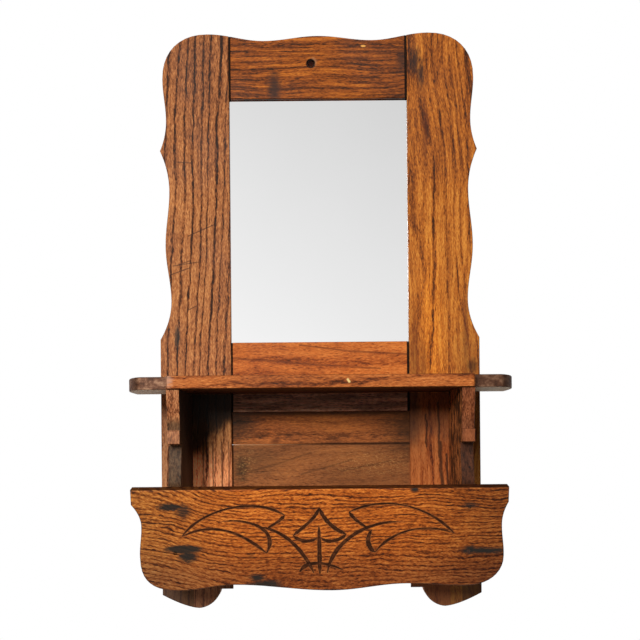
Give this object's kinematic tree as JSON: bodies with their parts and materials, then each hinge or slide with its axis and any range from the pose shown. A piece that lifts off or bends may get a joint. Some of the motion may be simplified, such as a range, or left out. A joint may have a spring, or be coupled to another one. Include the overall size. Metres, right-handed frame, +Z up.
{
  "type": "wall mirror with shelf and pocket",
  "caption": "Oak wall mirror with a scrolled frame, a narrow shelf and an open letter pocket whose slanted front carries an incised leaf ornament; it hangs from a hole in its top rail.",
  "frame": {"origin": "on the wall plane (the frame's back face) and on the centre line, level with the hanging hole", "axes": "+Z up, +X to the right as seen from the front, +Y into the wall, so the front faces -Y"},
  "size_m": [0.3656, 0.1081, 0.574],
  "materials": {
    "oak_frame": "old shellac on stained oak, worn satin",
    "oak_shelf": "old shellac on stained oak, darker at the ears",
    "oak_pocket": "old shellac on stained oak, orange in the middle",
    "oak_back": "dull stained oak",
    "dowel_birch": "bare wood",
    "looking_glass": "silvered glass",
    "backing_board": "bare softwood, aged",
    "screw_steel": "dull, with some rust",
    "iron": "dark, rusty"
  },
  "bodies": {
    "root": {"left_stile": "oak_frame", "right_stile": "oak_frame", "top_rail": "oak_frame", "middle_rail": "oak_frame", "bottom_rail": "oak_frame", "top_rail_dowels": "dowel_birch", "middle_rail_dowels": "dowel_birch", "bottom_rail_dowels": "dowel_birch", "mirror_glass": "looking_glass", "mirror_back_board": "backing_board", "mirror_board_brads": "iron", "upper_back_board": "oak_back", "lower_back_board": "oak_back", "back_board_brads": "iron", "shelf": "oak_shelf", "left_bracket": "oak_pocket", "right_bracket": "oak_pocket", "pocket_front": "oak_pocket", "pocket_floor": "oak_pocket", "shelf_screws": "screw_steel", "shelf_nails": "iron", "bracket_screws": "screw_steel", "pocket_front_nails": "iron", "pocket_floor_nails": "iron"}
  },
  "joints": []
}
